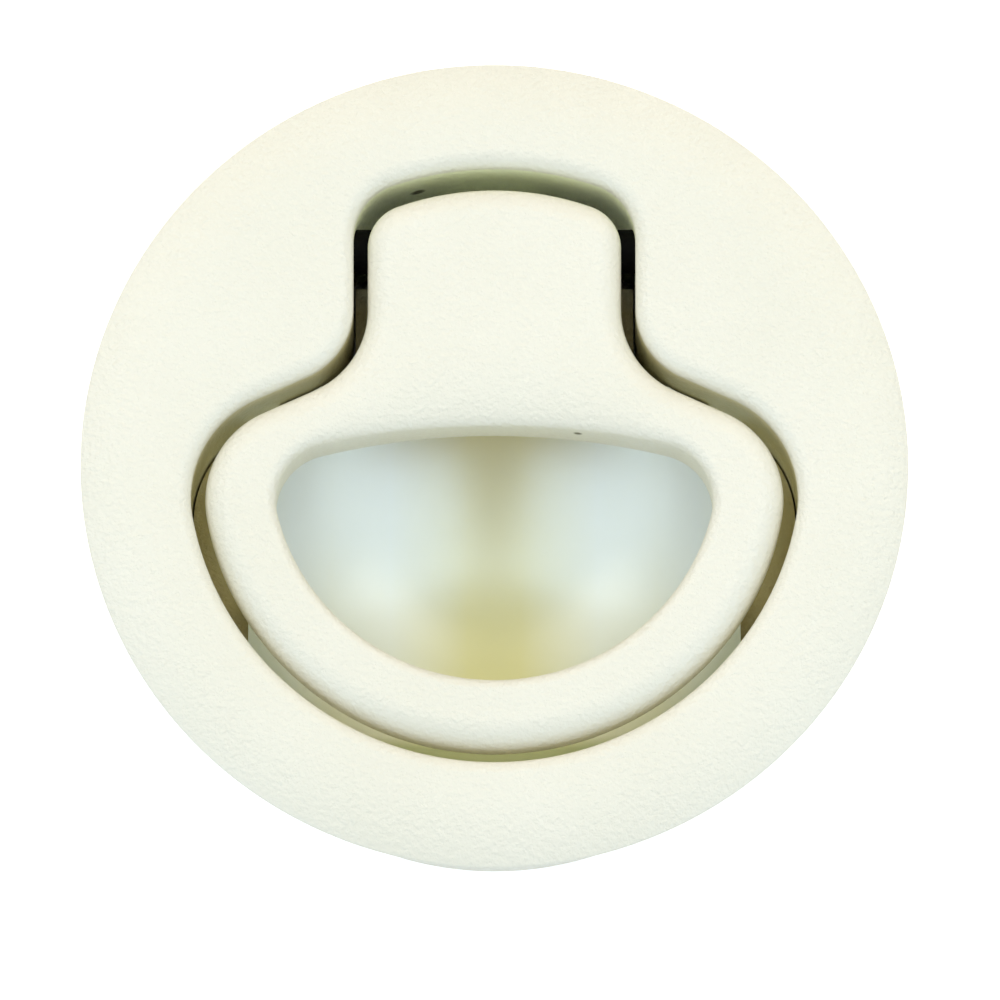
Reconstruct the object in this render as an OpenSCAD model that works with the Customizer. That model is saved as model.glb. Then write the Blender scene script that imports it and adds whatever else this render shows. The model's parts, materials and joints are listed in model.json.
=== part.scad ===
// Flush pull latch: a round bezel with a keyhole recess, a hinged D handle that lies flush
// in it, and a sprung slam bolt behind the panel that the handle pulls back.
// Millimetres. Z = 0 is the panel's front face and +Z points out of the panel.
// +Y runs from the grip of the handle to its hinge.

/* [Bezel] */
// Outer diameter of the bezel
bezel_d = 63.5; // [62:0.5:72]
// Thickness of the bezel's rim
rim_t = 1.5; // [1:0.1:2.5]
// Rise of the crown from the rim to the flat face
crown_rise = 1.3; // [0.6:0.1:2]
// Width of the crowned band
crown_w = 5.75; // [4:0.25:6.5]
// Radius of the rolled edge round the recess
lip_r = 1.3; // [0.6:0.1:1.6]

/* [Barrel] */
// Outer diameter of the barrel, for a hole a little larger
barrel_d = 50; // [48:0.5:52]
// Wall of the barrel
barrel_wall = 1.3; // [1:0.1:1.8]
// Length of the barrel behind the panel's front face
barrel_depth = 24.7; // [24:0.1:30]
// Wall round the recess, beside the neck
cheek_wall = 1.8; // [1.2:0.1:2.4]
// Pitch of the thread on the barrel
thread_pitch = 2; // [1.6:0.1:2.4]
// Depth of the thread's grooves
thread_depth = 0.55; // [0.4:0.05:0.6]

/* [Gasket and nut] */
// Thickness of the gasket under the bezel
gasket_t = 0.8; // [0.5:0.1:1.5]
// Width of the gasket's ring
gasket_w = 5.2; // [3:0.1:5.5]
// Depth of the nut's front face, the thickest panel it clamps
nut_depth = 6.4; // [4:0.1:9]
// Height of the nut
nut_h = 5.5; // [4:0.1:8]
// Radial thickness of the nut
nut_w = 2.85; // [2:0.05:3.2]

/* [Keyhole outline] */
// Distance of the shoulder's straight edge from the centre
shoulder_dist = 12.3; // [11.5:0.1:13]
// Slope of the shoulder's straight edge in degrees
shoulder_slope = 24.4; // [20:0.2:28]
// Radius of the corner between the round edge and the shoulder
shoulder_r = 8.6; // [7:0.1:10]
// Width of the recess at the neck
neck_w = 21.66; // [20:0.02:23]
// Radius of the inner corner between shoulder and neck
neck_fillet_r = 6; // [4:0.1:8]
// Radius of the recess corners at the end of the neck
neck_corner_r = 4.5; // [4:0.1:6]

/* [Handle] */
// Gap between the handle and the recess
handle_gap = 1.1; // [0.8:0.05:1.5]
// Gap at the handle's tail, which swings inwards
tail_gap = 1.6; // [1.4:0.05:2]
// Thickness of the handle
handle_t = 5; // [4.4:0.1:6]
// Rounding of the handle's outer edge
handle_round = 2.2; // [1.6:0.1:2.4]
// Width of the grip round the D opening
grip_w = 5.3; // [4.5:0.1:6.5]
// Highest point of the D opening
d_apex_y = 3.1; // [2:0.1:4]
// Radius of the D opening's upper edge
d_top_r = 55; // [45:1:70]
// Radius of the D opening's corners
d_corner_r = 4.6; // [3.5:0.1:5.5]
// Rounding of the D opening's edge
d_edge = 1; // [0.6:0.1:1.4]
// Width of the roll-off above the D opening
thumb_roll_w = 6; // [3:0.5:7]
// Drop of the roll-off above the D opening
thumb_roll_h = 1.6; // [1:0.1:2]
// Angle through which the handle lifts
handle_swing = 50; // [40:1:52]

/* [Hinge] */
// Distance of the hinge axis from the recess wall
hinge_inset = 5.8; // [5.6:0.1:6.2]
// Depth of the hinge axis below the face
hinge_depth = 4.5; // [4.2:0.1:5]
// Diameter of the hinge pin
pin_d = 3.4; // [3:0.1:3.6]
// Radius of the lugs round the pin
lug_r = 3.2; // [3:0.05:3.3]
// Width of the middle lug
hub_w = 7.2; // [6:0.1:8]
// Width of each spring pocket beside the middle lug
spring_pocket_w = 4.8; // [4:0.1:5.2]
// Length of the finger that drives the bolt
finger_len = 8.5; // [8:0.1:9.5]
// Thickness of the finger
finger_t = 2.4; // [2:0.1:2.8]
// Lean of the finger towards the recess wall at rest
finger_tilt = 20; // [16:1:22]

/* [Finger bowl] */
// Clearance between the handle and the bowl's rim
bowl_clear = 1; // [0.8:0.1:1.6]
// Depth of the scoop below the rim
bowl_depth = 10.6; // [9.6:0.1:10.8]
// Radius of the scoop
scoop_r = 27; // [25:0.5:30]
// Place of the scoop's deepest point along Y
scoop_y = -3.2; // [-4:0.1:-2]
// Width of the pockets beside the bowl
side_pocket_w = 4.6; // [4:0.1:6]
// Wall of the bowl
bowl_wall = 1.5; // [1.2:0.1:1.8]
// Distance from the top of the D opening to the bowl's end
bowl_overlap = 4.3; // [2.5:0.1:4.6]
// Length of the open window at the hinge
window_len = 4; // [3.6:0.1:4.4]

/* [Latch bolt] */
// Width of the bolt
bolt_w = 16; // [13:0.5:17]
// Height of the bolt
bolt_h = 6; // [5:0.1:6.4]
// Length of the bolt
bolt_len = 34; // [33:0.5:36]
// Reach of the nose outside the barrel
bolt_throw = 7.5; // [6:0.1:7.5]
// Thickness of the nose's tip
nose_tip = 1.2; // [0.8:0.1:2]
// Length of the nose's bevel
nose_bevel = 6.5; // [4:0.1:7]
// Thickness of the post that the finger pushes
post_t = 4; // [3:0.1:4.5]

/* [Springs] */
// Wire of the bolt's springs
bolt_wire = 0.6; // [0.4:0.05:0.8]
// Outer diameter of the bolt's springs
bolt_spring_d = 5; // [4.4:0.1:5.4]
// Wire of the handle's springs
handle_wire = 0.7; // [0.5:0.05:0.8]
// Turns of each handle spring
handle_turns = 4; // [3:1:4]

/* [Back cover] */
// Thickness of the cover
cover_t = 3; // [2.6:0.1:4]
// Diameter of the cover's screws
screw_d = 2.7; // [2.2:0.1:3]
// Diameter of the screw heads
screw_head_d = 5.4; // [4.6:0.1:5.6]
// Diameter of the screw bosses
boss_d = 6.2; // [5.4:0.1:6.4]

/* [Hidden] */
$fn = 96;

// Clearances
pin_play = 0.05;
press_play = 0.02;
slide_play = 0.25;
drive_play = 0.3;
thread_play = 0.15;
spring_play = 0.25;
seat_play = 0.15;
finger_play = 1.3;
pocket_play = 0.05;
coil_play = 0.6;
bolt_play = 0.2;
post_play = 0.35;
shelf_play = 1.2;
boss_play = 0.2;
bowl_play = 0.8;
rail_play = 1;
pilot_play = 0.5;
cut = 1;

// Steps of curves
round_steps = 14;
bend_steps = 8;
fillet_steps = 6;
corner_steps = 6;
end_steps = 4;
top_steps = 18;
lip_steps = 6;
edge_steps = 5;
coil_steps = 12;
wire_sides = 6;
peg_sides = 32;

// Colours
ivory = [0.93, 0.92, 0.84];
bowl_ivory = [0.9, 0.9, 0.8];
steel = [0.7, 0.71, 0.73];
acetal = [0.1, 0.1, 0.11];
rubber = [0.16, 0.16, 0.17];

// Levels and radii of the housing
flange_z = gasket_t;
rim_z = flange_z + rim_t;
face_z = rim_z + crown_rise;
bezel_r = bezel_d / 2;
flat_r = bezel_r - crown_w;
crown_r = (crown_w * crown_w + crown_rise * crown_rise) / (2 * crown_rise);
barrel_r = barrel_d / 2;
bore_r = barrel_r - barrel_wall;
recess_step = 0.2;
recess_r = bore_r - recess_step;
cover_z = -barrel_depth;

// Handle and hinge
handle_low = face_z - handle_t;
handle_r = recess_r - handle_gap;
tail_r = recess_r - tail_gap;
hinge_y = recess_r - hinge_inset;
hinge_z = face_z - hinge_depth;
pin_r = pin_d / 2;
pocket_r = lug_r + pocket_play;
skirt_inset = 0.3;
neck_half = neck_w / 2 - handle_gap;
finger_inset = 0.2;
finger_w = hub_w - 2 * finger_inset;
tip_r = finger_t / 2;

// Travel of the bolt, from the finger's swing
end_tilt = handle_swing - finger_tilt;
bolt_travel = finger_len * (sin(finger_tilt) + sin(end_tilt));
post_y = hinge_y + finger_len * sin(finger_tilt) - tip_r - drive_play;
post_top = hinge_z - finger_len * cos(end_tilt) - post_play;

// Floors inside the recess
floor_t = 2;
shelf_low = post_top + shelf_play;
shelf_top = shelf_low + floor_t;
ledge_top = shelf_low;
cheek_z = ledge_top - floor_t;
core_top = face_z - floor_t;
window_shift = 0.2;
window_y = hinge_y + window_shift;
shelf_end = window_y - window_len / 2;
ledge_start = window_y + window_len / 2;
ledge_rim = 1;

// Finger bowl
bowl_rim = handle_low - bowl_clear;
bowl_floor = bowl_rim - bowl_depth;
bowl_half = recess_r - side_pocket_w;
bowl_end = d_apex_y + bowl_overlap;
seat_wall = 2.8;
spring_seat = seat_wall + seat_play - recess_r;

// Latch bolt and its springs
bolt_low = cover_z + bolt_play;
bolt_top = bolt_low + bolt_h;
bolt_mid = (bolt_low + bolt_top) / 2;
nose_y = barrel_r + bolt_throw;
bolt_rear = nose_y - bolt_len;
post_side = 1;
post_w = finger_w + 2 * post_side;
bolt_spring_x = bolt_w / 4;
peg_r = bolt_spring_d / 2 - bolt_wire - spring_play;
peg_len = 3;
bolt_turns = 9;

// Handle springs
handle_coil_r = pin_r + coil_play + handle_wire / 2;
coil_x = hub_w / 2 + handle_wire / 2 + spring_play;
coil_end_x = hub_w / 2 + spring_pocket_w - handle_wire / 2 - spring_play;
spring_leg = 3;

// Back cover, its screws and their bosses
cover_low = cover_z - cover_t;
boss_r = boss_d / 2;
screw_r = screw_d / 2;
head_r = screw_head_d / 2;
head_h = 1.7;
head_sink = 0.15;
screw_reach = 7;
rear_boss_angle = 52.5;
boss_inset = 8.5;
front_boss = [bore_r - boss_inset, hinge_y - pin_r - boss_r - boss_play];
rear_boss = (bore_r - boss_r + barrel_wall / 2) * [cos(rear_boss_angle), -sin(rear_boss_angle)];
rear_boss_top = bowl_floor - bowl_wall - bowl_play;
rail_w = 1.6;
rail_h = bolt_h / 2;

// Thread, from below the hinge pin to the bolt's slot
thread_start = 3;
thread_turns = floor((-thread_start - bolt_top - slide_play) / thread_pitch);
groove_mouth = 0.7 * thread_pitch;
groove_root = 0.3 * thread_pitch;

SIDES = [-1, 1];

// An arc as [point, outward normal] pairs; side is -1 where the outline curves inwards
function arc(centre, r, from, to, steps, side = 1) = [
    for (i = [0 : steps])
        let (a = from + (to - from) * i / steps, u = [cos(a), sin(a)])
            [centre + r * u, side * u]
];

function tail(list) = [for (i = [1 : len(list) - 1]) list[i]];

// The right half of an outline from bottom to top, closed by its mirror image
function mirrored(half) = concat(half, [
    for (i = [len(half) - 2 : -1 : 1])
        [[-half[i][0].x, half[i][0].y], [-half[i][1].x, half[i][1].y]]
]);

function moved(outline, d) = [for (q = outline) q[0] + d * q[1]];

function at_height(points, z) = [for (p = points) [p.x, p.y, z]];

// Keyhole: a round body, sloping shoulders and a straight neck that ends on a second circle
function keyhole(gap, end_r, corner_r) =
    let (
        round_r = recess_r - gap,
        shoulder = shoulder_dist - gap,
        half = neck_w / 2 - gap,
        bend_r = shoulder_r - gap,
        fillet_r = neck_fillet_r + gap,
        up = 90 - shoulder_slope,
        n = [cos(up), sin(up)],
        along = [n.y, -n.x],
        reach = round_r - bend_r,
        rise = shoulder - bend_r,
        bend = rise * n + sqrt(reach * reach - rise * rise) * along,
        bend_from = atan2(bend.y, bend.x),
        fillet_x = half + fillet_r,
        fillet = [fillet_x, (shoulder + fillet_r - fillet_x * n.x) / n.y],
        corner_x = half - corner_r,
        corner_reach = end_r - corner_r,
        corner = [corner_x, sqrt(corner_reach * corner_reach - corner_x * corner_x)],
        corner_to = atan2(corner.y, corner.x)
    )
    mirrored(concat(
        arc([0, 0], round_r, -90, bend_from, round_steps),
        tail(arc(bend, bend_r, bend_from, up, bend_steps)),
        arc(fillet, fillet_r, up + 180, 180, fillet_steps, -1),
        arc(corner, corner_r, 0, corner_to, corner_steps),
        tail(arc([0, 0], end_r, corner_to, 90, end_steps))
    ));

recess_outline = keyhole(0, recess_r, neck_corner_r);
handle_outline = keyhole(handle_gap, tail_r, neck_corner_r - handle_gap);

// D opening: a round lower edge and a flatter upper edge
function d_opening() =
    let (
        low_r = handle_r - grip_w,
        top_y = d_apex_y - d_top_r,
        reach = low_r - d_corner_r,
        span = d_top_r - d_corner_r,
        y = (span * span - reach * reach - top_y * top_y) / (-2 * top_y),
        corner = [sqrt(reach * reach - y * y), y],
        corner_from = atan2(corner.y, corner.x),
        corner_to = atan2(corner.y - top_y, corner.x)
    )
    mirrored(concat(
        arc([0, 0], low_r, -90, corner_from, round_steps),
        tail(arc(corner, d_corner_r, corner_from, corner_to, bend_steps)),
        tail(arc([0, top_y], d_top_r, corner_to, 90, top_steps))
    ));

// Share of the roll-off at a point of the D opening: full at the top, none at the corners and below
function roll_share(q) =
    let (reach = handle_r - grip_w - d_edge)
    q[1].y < 0 ? 0 : pow(cos(90 * min(1, abs(q[0].x) / reach)), 2);

// The edge of the D opening, rounded and rolled off; turn is 0 on the face and 90 on the wall
function d_edge_ring(outline, turn) = [
    for (q = outline)
        let (
            share = roll_share(q),
            w = d_edge + share * (thumb_roll_w - d_edge),
            h = d_edge + share * (thumb_roll_h - d_edge),
            p = q[0] + w * (1 - sin(turn)) * q[1]
        )
        [p.x, p.y, face_z - h * (1 - cos(turn))]
];

// A solid skinned over rings of points that run anticlockwise round the way they are stacked
module skin(rings) {
    count = len(rings[0]);
    last = len(rings) - 1;
    sides = [
        for (k = [0 : last - 1], i = [0 : count - 1])
            let (
                j = (i + 1) % count,
                low = k * count,
                high = low + count
            )
            each [[low + i, high + i, high + j], [low + i, high + j, low + j]]
    ];
    ends = [
        [for (i = [0 : count - 1]) i],
        [for (i = [count - 1 : -1 : 0]) last * count + i]
    ];
    polyhedron([for (r = rings) each r], concat(ends, sides));
}

function unit(v) = v / norm(v);

// A round wire along a path; up is a direction that the path never runs along
module wire(path, up, r) {
    last = len(path) - 1;
    skin([
        for (i = [0 : last])
            let (
                t = unit(path[min(i + 1, last)] - path[max(i - 1, 0)]),
                n = unit(cross(up, t)),
                b = cross(t, n)
            )
            [for (k = [0 : wire_sides - 1])
                let (a = 360 * k / wire_sides)
                    path[i] + r * (cos(a) * n + sin(a) * b)]
    ]);
}

// A cylinder along X about the hinge axis, from one X to another
module hinge_rod(r, from, to) {
    translate([from, hinge_y, hinge_z])
        rotate([0, 90, 0])
            cylinder(r = r, h = to - from);
}

// A box from two opposite corners
module box(low, high) {
    translate(low)
        cube(high - low);
}

module at_bosses() {
    for (s = SIDES, p = [front_boss, rear_boss])
        translate([s * p.x, p.y, 0])
            children();
}

// Housing: bezel, barrel and recess in one moulding

// One groove of the thread in section, with its mouth on the Y axis
module thread_groove() {
    polygon([
        [cut, -groove_mouth / 2],
        [cut, groove_mouth / 2],
        [0, groove_mouth / 2],
        [-thread_depth, groove_root / 2],
        [-thread_depth, -groove_root / 2],
        [0, -groove_mouth / 2]
    ]);
}

// The barrel in section, with its thread as rings
module barrel_profile() {
    difference() {
        translate([0, cover_z])
            square([barrel_r, barrel_depth + flange_z + rim_t / 2]);
        for (i = [0 : thread_turns - 1])
            translate([barrel_r, -thread_start - thread_pitch * (i + 0.5)])
                thread_groove();
    }
}

module housing_profile() {
    intersection() {
        translate([0, flange_z])
            square([bezel_r, face_z - flange_z]);
        union() {
            square([flat_r, face_z]);
            translate([flat_r, face_z - crown_r])
                circle(crown_r);
        }
    }
    barrel_profile();
}

// The recess, from the face to below the floors, with its rolled edge
module recess_cut() {
    skin(concat(
        [at_height(moved(recess_outline, 0), cheek_z - cut)],
        [for (i = [0 : lip_steps])
            let (turn = 90 * i / lip_steps)
                at_height(moved(recess_outline, lip_r * (1 - cos(turn))), face_z - lip_r * (1 - sin(turn)))],
        [at_height(moved(recess_outline, lip_r), face_z + cut)]
    ));
}

// The hollows behind the face, left and right of the neck
module cheek_cores() {
    translate([0, 0, cheek_z - cut])
        linear_extrude(core_top - cheek_z + cut)
            difference() {
                circle(bore_r);
                polygon(moved(recess_outline, cheek_wall));
            }
}

// The floor between the hinge window and the recess wall, open for the finger
module ledge() {
    difference() {
        intersection() {
            translate([0, 0, cheek_z])
                cylinder(r = bore_r + barrel_wall / 2, h = floor_t);
            box([-barrel_r, ledge_start, cheek_z - cut], [barrel_r, barrel_r, ledge_top + cut]);
        }
        box([-finger_w / 2 - finger_play, 0, cheek_z - cut],
            [finger_w / 2 + finger_play, bore_r - ledge_rim, ledge_top + cut]);
    }
}

module screw_bosses() {
    for (s = SIDES) {
        translate([s * front_boss.x, front_boss.y, cover_z])
            cylinder(r = boss_r, h = core_top + floor_t / 2 - cover_z);
        intersection() {
            translate([s * rear_boss.x, rear_boss.y, cover_z])
                cylinder(r = boss_r, h = rear_boss_top - cover_z);
            translate([0, 0, cover_z])
                cylinder(r = barrel_r - barrel_wall / 2, h = barrel_depth);
        }
    }
}

module housing() {
    color(ivory)
        difference() {
            union() {
                difference() {
                    rotate_extrude()
                        housing_profile();
                    recess_cut();
                    translate([0, 0, cover_z - cut])
                        cylinder(r = bore_r, h = cheek_z - cover_z + cut);
                    cheek_cores();
                }
                ledge();
                screw_bosses();
            }
            box([-bolt_w / 2 - slide_play, ledge_start, cover_z - cut],
                [bolt_w / 2 + slide_play, barrel_r + cut, bolt_top + slide_play]);
            hinge_rod(pin_r + press_play, -barrel_r, barrel_r);
            at_bosses()
                translate([0, 0, cover_z - cut])
                    cylinder(r = screw_r + press_play, h = screw_reach + pilot_play + cut);
        }
}

module flange_gasket() {
    color(rubber)
        difference() {
            cylinder(r = barrel_r + seat_play + gasket_w, h = gasket_t);
            translate([0, 0, -cut])
                cylinder(r = barrel_r + seat_play, h = gasket_t + 2 * cut);
        }
}

module ring_nut() {
    nut_r = barrel_r + thread_play + nut_w;
    notch_r = 2;
    notch_depth = 0.9;
    grips = 12;
    color(ivory)
        translate([0, 0, -nut_depth - nut_h])
            difference() {
                cylinder(r = nut_r, h = nut_h);
                translate([0, 0, -cut])
                    cylinder(r = barrel_r + thread_play, h = nut_h + 2 * cut);
                for (i = [0 : grips - 1])
                    rotate([0, 0, 360 / grips * (i + 0.5)])
                        translate([nut_r + notch_r - notch_depth, 0, -cut])
                            cylinder(r = notch_r, h = nut_h - notch_depth + cut);
            }
}

// Pull handle: D ring, neck, hinge lugs and finger in one moulding

// The plate's outer form, with a rolled outer edge
module handle_form() {
    skin(concat(
        [at_height(moved(handle_outline, 0), handle_low)],
        [for (i = [0 : edge_steps])
            let (turn = 90 * i / edge_steps)
                at_height(moved(handle_outline, -handle_round * (1 - cos(turn))),
                    face_z - handle_round * (1 - sin(turn)))]
    ));
}

// The D opening with its rolled edge, through the plate and past both faces
module d_cut() {
    opening = d_opening();
    face_ring = d_edge_ring(opening, 0);
    skin(concat(
        [at_height(moved(opening, 0), handle_low - cut)],
        [for (i = [edge_steps : -1 : 0]) d_edge_ring(opening, 90 * i / edge_steps)],
        [at_height(face_ring, face_z + cut)]
    ));
}

// Lugs round the pin, kept within the handle's outline
module hinge_lugs() {
    skirt_from = hub_w / 2 + spring_pocket_w;
    skirt_to = neck_half - skirt_inset;
    intersection() {
        union() {
            hinge_rod(lug_r, -hub_w / 2, hub_w / 2);
            hinge_rod(lug_r, skirt_from, skirt_to);
            hinge_rod(lug_r, -skirt_to, -skirt_from);
        }
        translate([0, 0, hinge_z - lug_r - cut])
            linear_extrude(2 * lug_r + 2 * cut)
                polygon(moved(handle_outline, -skirt_inset));
    }
}

module drive_finger() {
    translate([-finger_w / 2, hinge_y, hinge_z])
        rotate([finger_tilt, 0, 0]) {
            translate([0, -tip_r, -finger_len])
                cube([finger_w, finger_t, finger_len]);
            translate([0, 0, -finger_len])
                rotate([0, 90, 0])
                    cylinder(r = tip_r, h = finger_w);
        }
}

module pull_handle() {
    color(ivory)
        difference() {
            union() {
                difference() {
                    handle_form();
                    d_cut();
                    for (s = [-hub_w / 2 - spring_pocket_w, hub_w / 2])
                        hinge_rod(pocket_r, s, s + spring_pocket_w);
                }
                hinge_lugs();
                drive_finger();
            }
            hinge_rod(pin_r + pin_play, -neck_w, neck_w);
        }
}

module hinge_pin() {
    edge_y = hinge_y + pin_r;
    half = sqrt(barrel_r * barrel_r - edge_y * edge_y) - seat_play;
    color(acetal)
        hinge_rod(pin_r, -half, half);
}

// Handle spring: coils on the pin, one leg under the tail and one on the shelf

// Angle at which a straight leg to a point leaves the coil, below the pin
function leg_angle(p, side) = atan2(p.y, p.x) + side * acos(handle_coil_r / norm(p));

module handle_spring(side) {
    wire_r = handle_wire / 2;
    lift_y = (hinge_y + pocket_r + tail_r) / 2 - hinge_y;
    lift = [lift_y, handle_low - wire_r - press_play - hinge_z];
    rest = [shelf_end - spring_leg - hinge_y, shelf_top + wire_r + press_play - hinge_z];
    from = leg_angle(lift, -1);
    to = leg_angle(rest, 1) - 360 * (handle_turns + 1);
    steps = coil_steps * handle_turns;
    coil = [
        for (i = [0 : steps])
            let (a = from + (to - from) * i / steps)
                [coil_x + (coil_end_x - coil_x) * i / steps, handle_coil_r * cos(a), handle_coil_r * sin(a)]
    ];
    path = concat([[coil_x, lift.x, lift.y]], coil, [[coil_end_x, rest.x, rest.y]]);
    color(steel)
        mirror([side < 0 ? 1 : 0, 0, 0])
            translate([0, hinge_y, hinge_z])
                wire(path, [1, 0, 0], wire_r);
}

module torsion_spring_left() {
    handle_spring(-1);
}

module torsion_spring_right() {
    handle_spring(1);
}

// Finger bowl: the scoop under the handle, standing on the cover, with the shelf beside the neck

// The ball that the scoop is part of
module ball(r) {
    translate([0, scoop_y, bowl_floor + scoop_r])
        sphere(r);
}

// The scoop, up to the bowl's far wall
module scoop() {
    intersection() {
        ball(scoop_r);
        box([-barrel_r, -barrel_r, bowl_floor - cut], [barrel_r, bowl_end - bowl_wall, bowl_rim + cut]);
    }
}

// What fills the recess from one side to the other between two levels, up to the bowl's end
module recess_fill(half, low, high) {
    intersection() {
        translate([0, 0, low])
            linear_extrude(high - low)
                polygon(moved(recess_outline, -seat_play));
        box([-half, -barrel_r, low - cut], [half, bowl_end, high + cut]);
    }
}

module bowl_block() {
    recess_fill(bowl_half, cover_z, bowl_rim);
}

// Flanges that close the recess beside the scoop
module bowl_flanges() {
    recess_fill(barrel_r, shelf_low, shelf_top);
}

module finger_bowl() {
    seat_half = bolt_w / 2;
    arch_half = bolt_w / 2 + rail_w + 3 * slide_play;
    color(bowl_ivory)
        difference() {
            union() {
                difference() {
                    bowl_block();
                    difference() {
                        box([-bowl_half + bowl_wall, -barrel_r, cover_z - cut],
                            [bowl_half - bowl_wall, bowl_end - bowl_wall, bowl_rim - bowl_wall]);
                        ball(scoop_r + bowl_wall);
                    }
                }
                bowl_flanges();
                intersection() {
                    bowl_block();
                    box([-seat_half, -barrel_r, cover_z - cut], [seat_half, spring_seat, bowl_rim]);
                }
                box([-neck_w / 2 + seat_play, bowl_end - bowl_wall / 2, shelf_low],
                    [neck_w / 2 - seat_play, shelf_end, shelf_top]);
                for (s = SIDES)
                    translate([s * bolt_spring_x, spring_seat - cut, bolt_mid])
                        rotate([-90, 0, 0])
                            cylinder(r = peg_r, h = peg_len + cut, $fn = peg_sides);
            }
            scoop();
            box([-arch_half, bowl_end - 2 * bowl_wall, cover_z - cut],
                [arch_half, bowl_end + cut, bolt_top + 2 * slide_play]);
            box([-finger_w / 2 - finger_play, post_y - bolt_travel - finger_play, shelf_low - cut],
                [finger_w / 2 + finger_play, shelf_end + cut, shelf_top + cut]);
        }
}

// Latch bolt: bevelled nose, post for the finger and pegs for the springs

module latch_bolt() {
    color(acetal) {
        translate([-bolt_w / 2, 0, 0])
            rotate([90, 0, 90])
                linear_extrude(bolt_w)
                    polygon([
                        [bolt_rear, bolt_low],
                        [nose_y - nose_bevel, bolt_low],
                        [nose_y, bolt_top - nose_tip],
                        [nose_y, bolt_top],
                        [bolt_rear, bolt_top]
                    ]);
        box([-post_w / 2, post_y - post_t, bolt_top - cut], [post_w / 2, post_y, post_top]);
        for (s = SIDES)
            translate([s * bolt_spring_x, bolt_rear + cut, bolt_mid])
                rotate([90, 0, 0])
                    cylinder(r = peg_r, h = peg_len + cut, $fn = peg_sides);
    }
}

module bolt_spring(side) {
    coil_r = (bolt_spring_d - bolt_wire) / 2;
    from = spring_seat + bolt_wire / 2 + press_play;
    to = bolt_rear - bolt_wire / 2 - press_play;
    steps = coil_steps * bolt_turns;
    color(steel)
        translate([side * bolt_spring_x, 0, bolt_mid])
            wire([
                for (i = [0 : steps])
                    let (a = 360 * bolt_turns * i / steps)
                        [coil_r * cos(a), from + (to - from) * i / steps, coil_r * sin(a)]
            ], [0, 1, 0], bolt_wire / 2);
}

module bolt_spring_left() {
    bolt_spring(-1);
}

module bolt_spring_right() {
    bolt_spring(1);
}

// Back cover: closes the barrel, with rails beside the bolt and sunk screw heads

module back_cover() {
    rail_from = bolt_w / 2 + slide_play;
    color(ivory)
        difference() {
            union() {
                translate([0, 0, cover_low])
                    cylinder(r = barrel_r, h = cover_t);
                for (s = SIDES)
                    translate([s * (rail_from + rail_w / 2) - rail_w / 2, bolt_rear, cover_z - cut])
                        cube([rail_w, ledge_start - bolt_rear - rail_play, rail_h + cut]);
            }
            at_bosses() {
                translate([0, 0, cover_low - cut])
                    cylinder(r = screw_r + slide_play, h = cover_t + 2 * cut);
                translate([0, 0, cover_low - cut])
                    cylinder(r = head_r + slide_play, h = head_h + head_sink + cut);
            }
        }
}

module cover_screws() {
    color(steel)
        at_bosses() {
            translate([0, 0, cover_low + head_sink])
                cylinder(r = head_r, h = head_h);
            translate([0, 0, cover_low + head_sink])
                cylinder(r = screw_r, h = cover_t + screw_reach);
        }
}

housing();
flange_gasket();
ring_nut();
pull_handle();
hinge_pin();
torsion_spring_left();
torsion_spring_right();
finger_bowl();
latch_bolt();
bolt_spring_left();
bolt_spring_right();
back_cover();
cover_screws();
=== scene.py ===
"""Looks of the flush pull latch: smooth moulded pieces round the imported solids, materials, light and camera."""

import json
import math

import bpy
from mathutils import Matrix, Vector


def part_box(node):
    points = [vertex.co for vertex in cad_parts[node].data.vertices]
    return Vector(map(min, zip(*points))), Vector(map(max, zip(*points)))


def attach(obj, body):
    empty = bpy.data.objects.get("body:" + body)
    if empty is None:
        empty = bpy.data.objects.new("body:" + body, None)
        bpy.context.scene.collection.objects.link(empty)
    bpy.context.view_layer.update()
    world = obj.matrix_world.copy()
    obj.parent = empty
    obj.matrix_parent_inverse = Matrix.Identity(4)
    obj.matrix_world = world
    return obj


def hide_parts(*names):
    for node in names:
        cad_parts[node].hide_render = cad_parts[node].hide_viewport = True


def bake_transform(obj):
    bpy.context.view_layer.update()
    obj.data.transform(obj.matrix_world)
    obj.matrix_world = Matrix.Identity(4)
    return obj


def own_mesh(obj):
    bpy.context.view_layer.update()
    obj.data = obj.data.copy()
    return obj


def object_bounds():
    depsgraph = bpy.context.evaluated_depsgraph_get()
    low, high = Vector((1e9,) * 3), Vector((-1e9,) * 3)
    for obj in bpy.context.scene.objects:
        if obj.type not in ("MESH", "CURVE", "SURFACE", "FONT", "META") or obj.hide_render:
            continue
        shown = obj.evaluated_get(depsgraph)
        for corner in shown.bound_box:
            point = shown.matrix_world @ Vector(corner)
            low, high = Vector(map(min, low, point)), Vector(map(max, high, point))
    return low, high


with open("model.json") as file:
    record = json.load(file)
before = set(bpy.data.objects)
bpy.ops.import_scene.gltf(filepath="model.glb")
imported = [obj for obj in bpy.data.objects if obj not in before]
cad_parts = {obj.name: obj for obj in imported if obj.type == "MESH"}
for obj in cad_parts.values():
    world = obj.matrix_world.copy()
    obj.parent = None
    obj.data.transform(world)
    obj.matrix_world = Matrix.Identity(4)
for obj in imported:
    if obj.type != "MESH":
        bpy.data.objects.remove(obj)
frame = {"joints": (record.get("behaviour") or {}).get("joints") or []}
cad_low, cad_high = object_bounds()

MM = 0.001
SIDES = (-1, 1)

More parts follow.
